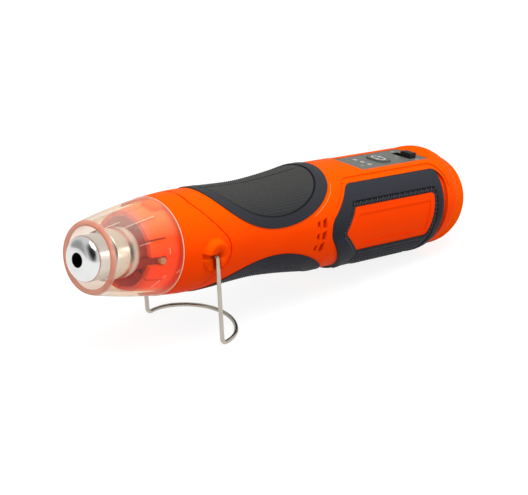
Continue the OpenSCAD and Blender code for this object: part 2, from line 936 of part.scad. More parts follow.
// Nozzle: a drawn tube whose domed end leaves a small round outlet
nozzle_front = -1.6;
nozzle_back = 12;
nozzle_neck = 0.15;
module nozzle() {
    outer = [for (a = [0:5:60]) nozzle_point(a, 0)];
    inner = [for (a = [60:-20:0]) nozzle_point(a, sheet)];
    color([0.82, 0.83, 0.84])
        turned(concat([[nozzle_r - nozzle_neck, nozzle_back],
            [nozzle_r - nozzle_neck, can_front], [nozzle_r, can_front]], outer,
            [[outlet_r, nozzle_front - dome_h]],
            [[outlet_r, nozzle_front - dome_h + sheet]], inner,
            [[nozzle_r - sheet, nozzle_back]]));
}
function nozzle_point(a, in) = [
    outlet_r + (nozzle_r - in - outlet_r) * cos(a * 90 / 70),
    nozzle_front - (dome_h - in) * sin(a * 90 / 70)];

// Heater can: wider, with a rounded shoulder at each end, slipped over the nozzle
can_front = 7.5;
can_round = 2;
module heater_can() {
    color([0.8, 0.81, 0.82])
        turned(concat([[nozzle_r - nozzle_neck + 0.02, can_front]],
            [for (a = [60:-30:0]) [can_r - 0.6 + 0.6 * cos(a), can_front + 0.6 - 0.6 * sin(a)]],
            [for (a = [0:15:90])
                [can_r - can_round + can_round * cos(a), can_back - can_round + can_round * sin(a)]],
            [[mica_r + 0.02, can_back], [mica_r + 0.02, can_back - sheet],
                [can_r - sheet - 0.8, can_back - sheet], [can_r - sheet - 0.1, can_back - can_round - 0.3],
                [nozzle_r - nozzle_neck + 0.02, nozzle_back + 0.4]]));
}

// Four stays from the can's back to the web of the collar
stay_r = 0.6;
module can_stays() {
    color([0.75, 0.75, 0.74])
        for (a = [0:90:270])
            rotate([a + 4, 0, 0])
                translate([can_back, 0, mica_r + stay_r + 0.15])
                    rotate([0, 90, 0])
                        cylinder(r = stay_r, h = web_x - can_back, $fn = 24);
}

mica_bore = mica_r - 0.8;
mica_front = nozzle_back + 1;
mica_back = sleeve_back - 1;
module mica_tube() {
    color([0.62, 0.5, 0.34])
        tube_x(mica_r, mica_bore, mica_front, mica_back);
}

// Crossed mica plates, waisted where the coil lies
former_front = mica_front + 6;
former_back = mica_back - 2;
coil_r = mica_bore - 1.6;
coil_wire_r = 0.45;
coil_end = 5;
module mica_former() {
    color([0.7, 0.58, 0.4])
        for (a = [0, 90])
            rotate([a, 0, 0])
                difference() {
                    translate([former_front, -mica_bore + 0.05, -0.4])
                        cube([former_back - former_front, 2 * mica_bore - 0.1, 0.8]);
                    for (side = [-1, 1])
                        translate([former_front + 4, side > 0 ? coil_r - coil_wire_r : -coil_r + coil_wire_r - 5, -1])
                            cube([former_back - former_front - 8, 5, 2]);
                }
}

module heating_coil() {
    turn_pitch = (former_back - former_front - 2 * coil_end) / coil_turns;
    color([0.45, 0.4, 0.38])
        for (i = [0:coil_turns - 1])
            translate([former_front + coil_end + turn_pitch * (i + 0.5), 0, 0])
                rotate([0, 90, 0])
                    rotate_extrude($fn = 48)
                        translate([coil_r, 0]) circle(r = coil_wire_r, $fn = 16);
}

// Holder that centres the mica tube in the collar's sleeve
holder_t = 4;
holder_hole_r = 1.8;
module heater_holder() {
    color([0.85, 0.83, 0.76])
        difference() {
            bar_x(collar_bore_r - fit_gap, sleeve_back - holder_t, sleeve_back);
            bar_x(mica_r + 0.02, sleeve_back - holder_t - 1, sleeve_back + 1);
            for (a = [0:45:315])
                rotate([a, 0, 0])
                    translate([sleeve_back - holder_t - 1, 0, (mica_r + collar_bore_r) / 2])
                        rotate([0, 90, 0])
                            cylinder(r = holder_hole_r, h = holder_t + 2, $fn = 24);
        }
}

// Fan, blown towards the heater, with the shaft that turns it
fan_x = x_waist - 6;
fan_t = 9;
mount_x = fan_x + fan_t + 2;
mount_t = 2.5;
motor_x = mount_x + mount_t;
shaft_r = 1;
module fan() {
    color([0.15, 0.15, 0.16])
        intersection() {
            union() {
                bar_x(4.6, fan_x, fan_x + fan_t);
                for (i = [0:blade_count - 1])
                    rotate([i * 360 / blade_count, 0, 0])
                        translate([fan_x + fan_t / 2, 0, 3.5])
                            rotate([0, 0, 35])
                                translate([-fan_t / 2 + 0.5, -0.5, 0])
                                    cube([fan_t - 1, 1, fan_r]);
                bar_x(shaft_r, fan_x + 1, motor_x + 8);
            }
            bar_x(fan_r, fan_x, motor_x + 9);
        }
}

module motor_mount() {
    seat_r = body_r(mount_x) - wall - fit_gap;
    color([0.2, 0.2, 0.22])
        difference() {
            bar_x(seat_r, mount_x, mount_x + mount_t);
            bar_x(3 + 0.02, mount_x - 1, mount_x + mount_t + 1);
            for (a = [0:60:300])
                rotate([a, 0, 0])
                    translate([mount_x - 1, 0, 10.5])
                        rotate([0, 90, 0])
                            cylinder(r = 3.8, h = mount_t + 2, $fn = 32);
        }
}

module motor() {
    color("silver")
        difference() {
            union() {
                bar_x(motor_r, motor_x, motor_x + motor_len);
                bar_x(3, motor_x - 1.6, motor_x + 1);
                bar_x(3.5, motor_x + motor_len - 1, motor_x + motor_len + 2);
            }
            bar_x(shaft_r + pin_gap, motor_x - 3, motor_x + 8 + 1);
        }
}

// Cells, in the triangle that sizes the barrel
cell_x = x_barrel_end - cell_len - 2.8;
cell_spots = [[-cell_pitch, cell_pitch / sqrt(3) - pack_drop], [cell_pitch, cell_pitch / sqrt(3) - pack_drop],
    [0, -2 * cell_pitch / sqrt(3) - pack_drop]];
link_t = 0.3;
module battery_cells() {
    color([0.15, 0.45, 0.65])
        for (c = cell_spots)
            translate([0, c[0], c[1]])
                bar_x(cell_r, cell_x, cell_x + cell_len);
}

// Nickel straps that join the cells: two in front, two behind
module cell_links() {
    color([0.8, 0.78, 0.72]) {
        link(cell_spots[0], cell_spots[1], cell_x - link_t);
        link(cell_spots[1], cell_spots[2], cell_x + cell_len);
    }
}

module link(a, b, x) {
    run = [b[0] - a[0], b[1] - a[1]];
    translate([x, a[0], a[1]])
        rotate([atan2(run[1], run[0]), 0, 0])
            translate([0, -2.5, -2.5])
                cube([link_t, norm(run) + 5, 5]);
}

// Cradle: an end frame at each end of the cells, joined by two rails
frame_t = 2.4;
cradle_r = barrel_r - wall - fit_gap;
module battery_cradle() {
    color([0.16, 0.16, 0.17]) {
        cradle_frame(cell_x - link_t - frame_t);
        difference() {
            cradle_frame(cell_x + cell_len + link_t);
            on_cap()
                translate([0, 0, -spigot_len - 0.5])
                    cylinder(r = reach, h = 2 * spigot_len + tail_len);
        }
        for (side = [-1, 1])
            translate([cell_x - link_t - 1, side * 0.72 * cradle_r - 1, -0.64 * cradle_r])
                cube([cell_len + 2 * link_t + 2, 2, 4]);
    }
}

module cradle_frame(x) {
    intersection() {
        bar_x(cradle_r, x, x + frame_t);
        translate([x - 1, -reach, -reach])
            cube([frame_t + 2, 2 * reach, reach + board_top - board_t - 0.4]);
    }
}

module housing_screws() {
    color([0.3, 0.3, 0.32])
        mirrored(true)
            for (s = screw_spots)
                translate([s[0], 0, s[1]])
                    rotate([90, 0, 0]) {
                        translate([0, 0, screw_seat(s)])
                            cylinder(r = screw_head_r, h = screw_head_h, $fn = 32);
                        translate([0, 0, -screw_bite])
                            cylinder(r = screw_r, h = screw_seat(s) + screw_bite + 0.5, $fn = 24);
                    }
}

// Wire stand: pins, legs and a loop bent from one length of wire
top_bend_r = 1.6;
pin_in = 4.5;
module wire_stand() {
    color([0.74, 0.72, 0.66])
        translate([hinge_x, 0, hinge_z])
            rotate([0, -leg_lean, 0]) {
                for (right = [false, true])
                    mirrored(right) stand_side();
                stand_loop();
            }
}

// One pin, its bend and its leg; here the leg runs down -Z and the loop lies level
module stand_side() {
    translate([0, -leg_out + top_bend_r, 0])
        rotate([-90, 0, 0])
            cylinder(r = wire_r, h = pin_in);
    translate([0, -leg_out + top_bend_r, -top_bend_r])
        rotate([0, -90, 0])
            rotate([0, 0, -90])
                rotate_extrude(angle = 90, $fn = 72)
                    translate([top_bend_r, 0]) circle(r = wire_r, $fn = 32);
    translate([0, -leg_out, -leg_len + foot_bend_r])
        cylinder(r = wire_r, h = leg_len - foot_bend_r - top_bend_r);
    translate([foot_bend_r, -leg_out, -leg_len + foot_bend_r])
        rotate([90, 0, 0])
            rotate([0, 0, 180])
                rotate_extrude(angle = 90, $fn = 72)
                    translate([foot_bend_r, 0]) circle(r = wire_r, $fn = 32);
}

// Loop: two corner arcs and the main arc that touches both, with a dressed weld at each joint
weld_rise = 0.06;
corner_y = leg_out - loop_corner_r;
main_gap = loop_depth - foot_bend_r;
main_r = (pow(corner_y, 2) + pow(main_gap, 2) - pow(loop_corner_r, 2)) / (2 * (main_gap - loop_corner_r));
main_x = loop_depth - main_r;
corner_a = atan2(foot_bend_r - main_x, corner_y);
module stand_loop() {
    translate([0, 0, -leg_len]) {
        for (right = [false, true])
            mirrored(right)
                translate([foot_bend_r, -corner_y, 0])
                    rotate([0, 0, -90])
                        wire_arc(loop_corner_r, corner_a);
        translate([main_x, 0, 0]) {
            rotate([0, 0, corner_a - 90])
                wire_arc(main_r, 180 - 2 * corner_a);
            for (side = [-1, 1])
                rotate([0, 0, side * (90 - corner_a)])
                    translate([main_r, 0, 0])
                        rotate([90, 0, 0])
                            cylinder(r = wire_r + weld_rise, h = 1.4, center = true, $fn = 32);
        }
    }
}

module wire_arc(r, a) {
    rotate_extrude(angle = a, $fn = 120)
        translate([r, 0]) circle(r = wire_r, $fn = 32);
}

on_stand() heat_shield();
on_stand() nose_collar();
on_stand() left_housing();
on_stand() right_housing();
on_stand() rear_cap();
on_stand() upper_grip_left();
on_stand() upper_grip_right();
on_stand() lower_grip_left();
on_stand() lower_grip_right();
on_stand() side_pad_left();
on_stand() side_pad_right();
on_stand() side_inset_left();
on_stand() side_inset_right();
on_stand() control_panel();
on_stand() push_button();
on_stand() switch_knob();
on_stand() slide_switch();
on_stand() button_switch();
on_stand() indicator_lamps();
on_stand() control_board();
on_stand() charging_socket();
on_stand() nozzle();
on_stand() heater_can();
on_stand() can_stays();
on_stand() mica_tube();
on_stand() mica_former();
on_stand() heating_coil();
on_stand() heater_holder();
on_stand() fan();
on_stand() motor();
on_stand() motor_mount();
on_stand() battery_cells();
on_stand() cell_links();
on_stand() battery_cradle();
on_stand() housing_screws();
on_stand() wire_stand();
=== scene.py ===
import json
import math

import bmesh
import bpy
from mathutils import Matrix, Vector
from mathutils.bvhtree import BVHTree

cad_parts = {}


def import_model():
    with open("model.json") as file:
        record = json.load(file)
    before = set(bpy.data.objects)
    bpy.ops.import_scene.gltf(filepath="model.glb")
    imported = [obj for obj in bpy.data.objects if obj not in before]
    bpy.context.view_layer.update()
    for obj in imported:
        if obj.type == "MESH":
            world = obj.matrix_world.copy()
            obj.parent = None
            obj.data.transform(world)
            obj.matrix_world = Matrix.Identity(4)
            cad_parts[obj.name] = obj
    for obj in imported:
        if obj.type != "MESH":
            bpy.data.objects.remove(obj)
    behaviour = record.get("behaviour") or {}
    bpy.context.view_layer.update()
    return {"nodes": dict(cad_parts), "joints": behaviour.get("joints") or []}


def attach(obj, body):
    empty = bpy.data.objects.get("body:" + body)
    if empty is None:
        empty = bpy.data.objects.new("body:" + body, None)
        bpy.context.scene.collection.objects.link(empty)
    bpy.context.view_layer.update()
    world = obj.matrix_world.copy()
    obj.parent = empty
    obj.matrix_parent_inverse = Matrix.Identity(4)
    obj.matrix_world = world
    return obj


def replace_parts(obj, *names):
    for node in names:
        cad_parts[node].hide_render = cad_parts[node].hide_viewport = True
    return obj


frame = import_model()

MM = 0.001

# Tool frame: mm, X from the shield's mouth to the tail along the tool's axis, Y across, Z up.
# The fan's shaft gives its direction, and the stand's hinge, which lies at HINGE in it, its place.
JOINTS = {j["name"]: j for j in frame["joints"]}
HINGE = Vector((55.8, 0.0, -0.5))
AXIS_X = Vector(JOINTS["fan_spin"]["axis"]).normalized()
AXIS_Y = Vector((0, 1, 0))
AXIS_Z = AXIS_X.cross(AXIS_Y)
TURN = Matrix((AXIS_X, AXIS_Y, AXIS_Z)).transposed()
ORIGIN = Vector(JOINTS["stand_fold"]["pos_m"]) - TURN @ (HINGE * MM)
TOOL = Matrix.Translation(ORIGIN) @ TURN.to_4x4() @ Matrix.Scale(MM, 4)
TO_TOOL = TOOL.inverted()


def math_node(tree, kind, a, b=0.0):
    """A math node on two sockets or numbers."""
    node = tree.nodes.new("ShaderNodeMath")
    node.operation = kind
    for slot, v in ((0, a), (1, b)):
        if isinstance(v, (int, float)):
            node.inputs[slot].default_value = v
        else:
            tree.links.new(v, node.inputs[slot])
    return node.outputs[0]


def range_node(tree, src, lo, hi, a=0.0, b=1.0):
    """A map range node: lo and hi are what src gives at a and at b."""
    node = tree.nodes.new("ShaderNodeMapRange")
    node.inputs["From Min"].default_value = a
    node.inputs["From Max"].default_value = b
    node.inputs["To Min"].default_value = lo
    node.inputs["To Max"].default_value = hi
    tree.links.new(src, node.inputs["Value"])
    return node


def dot_node(tree, src, direction):
    """The length of src along a direction."""
    node = tree.nodes.new("ShaderNodeVectorMath")
    node.operation = "DOT_PRODUCT"
    node.inputs[1].default_value = direction
    tree.links.new(src, node.inputs[0])
    return node.outputs["Value"]


def blend(tree, fac, a, b):
    """A mix node on two sockets or numbers: a where fac is 0, and b where it is 1."""
    node = tree.nodes.new("ShaderNodeMix")
    tree.links.new(fac, node.inputs[0])
    for slot, v in ((2, a), (3, b)):
        if isinstance(v, (int, float)):
            node.inputs[slot].default_value = v
        else:
            tree.links.new(v, node.inputs[slot])
    return node.outputs[0]


class Mat:
    """A principled material with helpers for noise, bump, mixing and masks by place."""

    def __init__(self, name, color, rough=0.5, metal=0.0, **kw):
        self.m = bpy.data.materials.new(name)
        self.m.use_nodes = True
        self.tree = self.m.node_tree
        self.n, self.l = self.tree.nodes, self.tree.links
        self.b = self.n["Principled BSDF"]
        self.b.inputs["Base Color"].default_value = (*color, 1)
        self.b.inputs["Roughness"].default_value = rough
        self.b.inputs["Metallic"].default_value = metal
        for k, v in kw.items():
            self.b.inputs[k.replace("_", " ")].default_value = v
        self.coord = self.n.new("ShaderNodeTexCoord").outputs["Object"]

    def noise(self, scale, detail=3.0, stretch=None):
        src = self.coord
        if stretch:
            mp = self.n.new("ShaderNodeMapping")
            mp.inputs["Scale"].default_value = stretch
            self.l.new(src, mp.inputs["Vector"])
            src = mp.outputs["Vector"]
        t = self.n.new("ShaderNodeTexNoise")
        t.inputs["Scale"].default_value = scale
        t.inputs["Detail"].default_value = detail
        self.l.new(src, t.inputs["Vector"])
        return t.outputs["Fac"]

    def ramp(self, src, lo, hi, a=0.3, b=0.7):
        """Maps a..b to lo..hi; the usual a and b suit a noise."""
        return range_node(self.tree, src, lo, hi, a, b).outputs["Result"]

    def rough_from(self, src, lo, hi):
        self.l.new(self.ramp(src, lo, hi), self.b.inputs["Roughness"])

    def mix(self, fac, ca, cb):
        r = self.n.new("ShaderNodeMix")
        r.data_type = "RGBA"
        for slot, c in ((6, ca), (7, cb)):
            if isinstance(c, tuple):
                r.inputs[slot].default_value = (*c, 1)
            else:
                self.l.new(c, r.inputs[slot])
        self.l.new(fac, r.inputs[0])
        return r.outputs[2]

    def paint(self, color):
        """Gives the material its base colour."""
        self.l.new(color, self.b.inputs["Base Color"])

    def mottle(self, ca, cb):
        return self.mix(self.ramp(self.noise(60), 0, 1), ca, cb)

    def up(self, lo=-0.2, hi=0.95):
        """0 on faces whose normal rises by lo or less, 1 on those that rise by hi or more: a mask for
        painted top light.
        """
        g = self.n.new("ShaderNodeNewGeometry")
        parts = self.n.new("ShaderNodeSeparateXYZ")
        self.l.new(g.outputs["Normal"], parts.inputs[0])
        return self.ramp(parts.outputs["Z"], 0, 1, lo, hi)

    def math(self, kind, a, b=0.0):
        return math_node(self.tree, kind, a, b)

    def product(self, first, *others):
        for other in others:
            first = self.math("MULTIPLY", first, other)
        return first

    def length(self, a, b):
        """The length of a vector with two parts."""
        return self.math("SQRT", self.math("ADD", self.product(a, a), self.product(b, b)))

    def tool(self, axis):
        """The tool's own coordinate along an axis, in mm."""
        shift = self.n.new("ShaderNodeVectorMath")
        shift.operation = "SUBTRACT"
        shift.inputs[1].default_value = ORIGIN
        self.l.new(self.coord, shift.inputs[0])
        return dot_node(self.tree, shift.outputs[0], axis / MM)

    def axis_distance(self):
        """The distance from the tool's axis, in mm."""
        return self.length(self.tool(AXIS_Y), self.tool(AXIS_Z))

    def bump(self, src, height, round_mm):
        """Grain of a height in mm, over edges that look rounded by round_mm."""
        bp = self.n.new("ShaderNodeBump")
        bp.inputs["Strength"].default_value = 1.0
        bp.inputs["Distance"].default_value = height * MM
        self.l.new(src, bp.inputs["Height"])
        bv = self.n.new("ShaderNodeBevel")
        bv.samples = 4
        bv.inputs["Radius"].default_value = round_mm * MM
        self.l.new(bv.outputs["Normal"], bp.inputs["Normal"])
        self.l.new(bp.outputs["Normal"], self.b.inputs["Normal"])


def plastic(name, ca, cb, rough, grain, round_mm, spec=0.5, scale=2500.0, top=None, mask=None):
    """Plastic or rubber, mottled between two colours. Faces that look up are painted lighter, towards top,
    as painted top light, and mask(m, color) may paint shade, a glow or a dark field into places."""
    m = Mat(name, ca, rough, Specular_IOR_Level=spec)
    color = m.mottle(ca, cb)
    if top:
        # Painted top light: faces that look up take the lighter top colour.
        color = m.mix(m.up(0.05, 1.0), color, top)
    if mask:
        color = mask(m, color)
    m.paint(color)
    m.rough_from(m.noise(400, 5), rough - 0.05, rough + 0.06)
    m.bump(m.noise(scale, 2), grain, round_mm)
    return m.m


def painted_bore_shade_and_glow(m, color):
    """The heater tube: painted shade, black, in the bore, and a faint maroon painted glow round it, though
    it is no lamp.
    """
    bore_r, wall_r = 8.5, 8.9
    far = m.axis_distance()
    # Painted glow: the tube gives off a faint maroon light, though it is no lamp.
    m.b.inputs["Emission Color"].default_value = (0.16, 0.010, 0.004, 1)
    m.l.new(m.ramp(far, 0, 1, bore_r, wall_r), m.b.inputs["Emission Strength"])
    return m.mix(m.ramp(far, 1, 0, bore_r, wall_r), color, (0.006, 0.005, 0.005))


def channel_shade_and_dark_field(m, color):
    """The side pads: painted shade in the sunk channel above the inset, and a dark field under it."""
    floor_z, roof_z, front_x, back_x = 9.9, 12.6, 149.0, 217.0
    field_z, field_x = -13.9, 154.0
    x, z = m.tool(AXIS_X), m.tool(AXIS_Z)
    over = m.product(m.ramp(z, 0, 1, floor_z, floor_z + 0.3), m.ramp(z, 1, 0, roof_z - 0.3, roof_z),
                     m.ramp(x, 0, 1, front_x, front_x + 1.5), m.ramp(x, 1, 0, back_x - 1.5, back_x))
    under = m.product(m.ramp(z, 1, 0, field_z, field_z + 0.5), m.ramp(x, 0, 0.6, field_x, field_x + 6.0))
    # Near black paints shade into the channel and darkens the field under the inset.
    return m.mix(m.math("MAXIMUM", over, under), color, (0.006, 0.006, 0.008))


def painted_well_shade(m, color):
    """The control panel: painted shade, black, in the wells under its face."""
    face_z = 22.4
    return m.mix(m.ramp(m.tool(AXIS_Z), 1, 0, face_z - 0.1, face_z), color, (0.004, 0.004, 0.004))


def grip_look(name, x, z, r):
    """Rubber with a smooth bluish border, a fine dark line of painted shade in the groove round the field,
    and a darker field inside it; faces that look up are painted lighter, as painted top light.
    """
    m = Mat(name, (0.04, 0.042, 0.052), 0.58, Specular_IOR_Level=0.09)
    far = m.length(m.math("SUBTRACT", m.tool(AXIS_X), x), m.math("SUBTRACT", m.tool(AXIS_Z), z))
    # Faces that look up take lighter copies of the border and field colours: painted top light.
    border = m.mix(m.up(), m.mottle((0.011, 0.012, 0.017), (0.014, 0.015, 0.021)), (0.041, 0.043, 0.051))
    field = m.mix(m.up(0.2), m.mottle((0.010, 0.011, 0.015), (0.013, 0.014, 0.019)), (0.056, 0.057, 0.054))
    color = m.mix(m.ramp(far, 0, 1, r - 0.1, r + 0.1), field, border)
    # The fine dark line is painted shade in the groove between border and field.
    line = m.ramp(m.math("ABSOLUTE", m.math("SUBTRACT", far, r)), 1, 0, 0.15, 0.32)
    m.paint(m.mix(line, color, (0.008, 0.008, 0.010)))
    m.rough_from(m.noise(400, 5), 0.53, 0.64)
    m.bump(m.noise(1800, 2), 0.02, 0.45)
    return m.m


def metal(name, ca, cb, rough, streak, round_mm=0.15, mask=None):
    """Metal with fine streaks, stretched by streak; mask(m, color) may change places."""
    m = Mat(name, ca, rough, 1.0)
    color = m.mix(m.ramp(m.noise(90, 4), 0, 1), ca, cb)
    m.paint(mask(m, color) if mask else color)
    fine = m.noise(1200, 3, streak)
    m.rough_from(fine, rough - 0.05, rough + 0.07)
    m.bump(fine, 0.004, round_mm)
    return m.m


def satin_heel_and_painted_reflection(m, color):
    """The can: satin towards its heel, with a dark bluish streak on the left of the shoulder that is a
    painted reflection.
    """
    blade_turn, shoulder_r, satin_x, heel_x = math.radians(72), 11.3, 14.6, 17.6
    x, y, z = m.tool(AXIS_X), m.tool(AXIS_Y), m.tool(AXIS_Z)
    m.l.new(m.ramp(x, 1.0, 0.12, satin_x, heel_x), m.b.inputs["Metallic"])
    # The streak is a painted reflection of a dark blade, bluish grey on the shoulder.
    near = m.math("ADD", m.product(y, -math.sin(blade_turn) / shoulder_r),
                  m.product(z, math.cos(blade_turn) / shoulder_r))
    painted_blade = m.product(m.ramp(near, 0, 1, 0.90, 0.985), m.ramp(x, 0, 1, satin_x - 0.2, satin_x + 0.8),
                     m.ramp(x, 1, 0, heel_x - 1.4, heel_x + 0.8))
    return m.mix(painted_blade, color, (0.13, 0.15, 0.18))


# Tool frame: side signs, the x of the collar's face, and the circle that bounds the field of each
# grip in side view, as its centre's x and z and its radius
SIDES = {"left": -1, "right": 1}
COLLAR_FACE = 37.0
GRIPS = {"upper": (101.0, 57.8, 47.0), "lower": (100.0, -71.4, 59.0)}

# Top colours are painted top light: faces that look up take a lighter colour.
orange = plastic("orange_shell", (0.97, 0.055, 0.0), (0.99, 0.061, 0.0), 0.46, 0.010, 0.35, 0.012,
                 top=(1.0, 0.122, 0.0))
inset_orange = plastic("inset_orange", (0.97, 0.052, 0.0), (0.99, 0.058, 0.0), 0.46, 0.010, 0.4, 0.012)
# The cap's orange is a lighter copy of the shell's orange, painted for the light its rear face catches; its
# top colour is painted top light too.
painted_lit_cap_orange = plastic("orange_cap", (0.98, 0.086, 0.0), (1.0, 0.096, 0.0), 0.5, 0.008, 0.4, 0.0,
                     top=(1.0, 0.12, 0.0))
pale_orange = plastic("pale_orange", (1.0, 0.30, 0.07), (1.0, 0.34, 0.09), 0.4, 0.004, 0.05, 0.05)
# Saturated red paints the shade and red bounce light in the nose seam's groove and behind the shield's rim.
painted_shade_red = plastic("painted_shade_red", (0.92, 0.010, 0.0), (0.95, 0.013, 0.0), 0.6, 0.004, 0.05, 0.0)
upper_rubber = grip_look("upper_grip_rubber", *GRIPS["upper"])
lower_rubber = grip_look("lower_grip_rubber", *GRIPS["lower"])
dot_rubber = plastic("dot_rubber", (0.036, 0.038, 0.047), (0.044, 0.046, 0.056), 0.5, 0.008, 0.1, 0.12,
                     top=(0.062, 0.062, 0.057))
pad_rubber = plastic("pad_rubber", (0.015, 0.016, 0.022), (0.019, 0.020, 0.027), 0.58, 0.02, 0.5, 0.09, 1800,
                     top=(0.040, 0.043, 0.053), mask=channel_shade_and_dark_field)
rib_rubber = plastic("rib_rubber", (0.070, 0.073, 0.083), (0.080, 0.084, 0.095), 0.5, 0.008, 0.1, 0.12)
faint_mark = plastic("faint_mark", (0.58, 0.58, 0.54), (0.64, 0.64, 0.60), 0.5, 0.004, 0.05, 0.1)
rib_black = plastic("rib_black", (0.030, 0.030, 0.033), (0.038, 0.038, 0.041), 0.45, 0.004, 0.1, 0.2)
tube_clear = Mat("tube_clear", (1.0, 0.80, 0.74), 0.05, 0.0, IOR=1.12, Coat_Weight=1.0, Coat_Roughness=0.05,
                 Transmission_Weight=0.75).m
# Painted highlight for the shield's fine mould ridges.
painted_highlight_line = plastic("painted_highlight_line", (1.0, 0.74, 0.56), (1.0, 0.80, 0.64), 0.4, 0.004, 0.05, 0.1)
rim_line = plastic("rim_line", (1.0, 0.56, 0.42), (1.0, 0.62, 0.48), 0.4, 0.004, 0.05, 0.1)
line_black = plastic("line_black", (0.004, 0.004, 0.005), (0.006, 0.006, 0.007), 0.6, 0.004, 0.05, 0.0)
panel_grey = plastic("panel_grey", (0.150, 0.156, 0.142), (0.164, 0.170, 0.154), 0.5, 0.012, 0.2, 0.15,
                     mask=painted_well_shade)
button_grey = plastic("button_grey", (0.112, 0.117, 0.108), (0.122, 0.127, 0.116), 0.5, 0.012, 0.35, 0.2)
black = plastic("black_plastic", (0.005, 0.005, 0.005), (0.007, 0.007, 0.007), 0.45, 0.012, 0.25, 0.25)
green = plastic("board_green", (0.010, 0.075, 0.022), (0.015, 0.095, 0.03), 0.4, 0.01, 0.1)
ceramic = plastic("ceramic", (0.62, 0.58, 0.47), (0.68, 0.64, 0.53), 0.7, 0.03, 0.2)
mica = plastic("mica", (0.16, 0.11, 0.06), (0.22, 0.16, 0.09), 0.35, 0.02, 0.1)
# The heater tube's saturated maroon is painted red bounce light from the orange round it, over its own dark
# brown.
tube_brown = plastic("heater_tube", (0.34, 0.040, 0.026), (0.40, 0.050, 0.032), 0.5, 0.02, 0.1, 0.05,
                     mask=painted_bore_shade_and_glow)
sleeve = plastic("cell_sleeve", (0.01, 0.07, 0.22), (0.015, 0.09, 0.27), 0.3, 0.006, 0.2)
white_mark = plastic("white_mark", (0.78, 0.78, 0.74), (0.84, 0.84, 0.80), 0.5, 0.004, 0.05)
lamp = plastic("lamp_lens", (0.44, 0.43, 0.38), (0.50, 0.49, 0.44), 0.35, 0.004, 0.15)
steel = metal("nozzle_steel", (0.74, 0.75, 0.74), (0.64, 0.65, 0.64), 0.15, (40, 1, 1))
can_steel = metal("can_steel", (0.76, 0.77, 0.76), (0.66, 0.67, 0.66), 0.17, (40, 1, 1), mask=satin_heel_and_painted_reflection)
tin = metal("switch_steel", (0.66, 0.66, 0.66), (0.58, 0.58, 0.58), 0.3, (1, 6, 1))
wire = metal("stand_wire", (0.50, 0.47, 0.40), (0.40, 0.37, 0.31), 0.24, (1, 1, 1), 0.1)
nickel = metal("nickel_strip", (0.6, 0.58, 0.52), (0.5, 0.48, 0.43), 0.35, (1, 4, 1))
coil = metal("coil_wire", (0.20, 0.17, 0.15), (0.12, 0.10, 0.09), 0.5, (1, 1, 1))
dark_steel = metal("screw_steel", (0.10, 0.10, 0.10), (0.07, 0.07, 0.07), 0.4, (1, 1, 1))


def clear_shell():
    """Peach clear plastic: a straight filter with a thin gloss, cloudier at the lip and the rim."""
    lip_x, rim_x, rim_r = 1.2, COLLAR_FACE - 0.5, 21.4
    m = Mat("clear_shield", (0.95, 0.85, 0.76), 0.03, 0.0, IOR=1.02, Coat_Weight=0.3, Coat_Roughness=0.06)
    x = m.tool(AXIS_X)
    lip = m.ramp(x, 1.0, 0.0, lip_x, 2 * lip_x)
    rim = m.product(m.ramp(x, 0.0, 1.0, rim_x, rim_x + 0.3),
                    m.ramp(m.axis_distance(), 0.0, 1.0, rim_r, rim_r + 0.2))
    edge = m.n.new("ShaderNodeLayerWeight")
    edge.inputs["Blend"].default_value = 0.35
    wall = m.mix(m.ramp(edge.outputs["Facing"], 0, 1, 0.1, 0.9), (0.97, 0.88, 0.79), (0.74, 0.60, 0.48))
    wall = m.mix(m.ramp(x, 0, 1, 20.0, 24.0), wall, (0.98, 0.80, 0.50))
    m.paint(m.mix(rim, m.mix(lip, wall, (0.72, 0.28, 0.19)), (1.0, 0.62, 0.50)))
    # Faces that look up get more haze: painted top light.
    haze = m.math("MAXIMUM", m.ramp(edge.outputs["Facing"], 0.0, 0.48, 0.5, 0.95),
                  m.product(m.up(0.45, 1.0), 0.17))
    cloud = range_node(m.tree, m.math("MAXIMUM", lip, rim), 0.0, 0.25)
    m.l.new(m.math("SUBTRACT", 0.995, haze), cloud.inputs["To Min"])
    m.l.new(cloud.outputs["Result"], m.b.inputs["Transmission Weight"])
    return m.m


shield = clear_shell()

LOOKS = {
    "heat_shield": shield, "nose_collar": orange, "left_housing": orange, "right_housing": orange,
    "rear_cap": painted_lit_cap_orange, "upper_grip_left": upper_rubber, "upper_grip_right": upper_rubber,
    "lower_grip_left": lower_rubber, "lower_grip_right": lower_rubber, "side_pad_left": pad_rubber,
    "side_pad_right": pad_rubber, "side_inset_left": inset_orange, "side_inset_right": inset_orange,
    "control_panel": panel_grey, "push_button": button_grey, "switch_knob": black,
    "slide_switch": black, "button_switch": black, "indicator_lamps": lamp, "control_board": green,
    "charging_socket": tin, "nozzle": steel, "heater_can": steel, "can_stays": steel,
    "mica_tube": tube_brown, "mica_former": mica, "heating_coil": coil, "heater_holder": ceramic,
    "fan": black, "motor": tin, "motor_mount": black, "battery_cells": sleeve,
    "cell_links": nickel, "battery_cradle": black, "housing_screws": dark_steel, "wire_stand": wire,
}
for name, look in LOOKS.items():
    obj = frame["nodes"][name]
    obj.data.materials.clear()
    obj.data.materials.append(look)


# Pieces that the solids leave to the look, drawn in the tool's own millimetres
OUTSIDE = 60


def skin(*names):
    """The surface of some CAD nodes, to lay fine things on."""
    verts, faces = [], []
    for name in names:
        mesh = frame["nodes"][name].data
        base = len(verts)
        verts += [TO_TOOL @ v.co for v in mesh.vertices]
        faces += [[base + i for i in p.vertices] for p in mesh.polygons]
    return BVHTree.FromPolygons(verts, faces)


def first_hit(tree, start, way):
    """The point and normal that a ray meets first, or None."""
    hit = tree.ray_cast(start, way)
    return hit[:2] if hit[0] else None


def from_side(tree, side, x, z):
    return first_hit(tree, Vector((x, OUTSIDE * side, z)), Vector((0, -side, 0)))


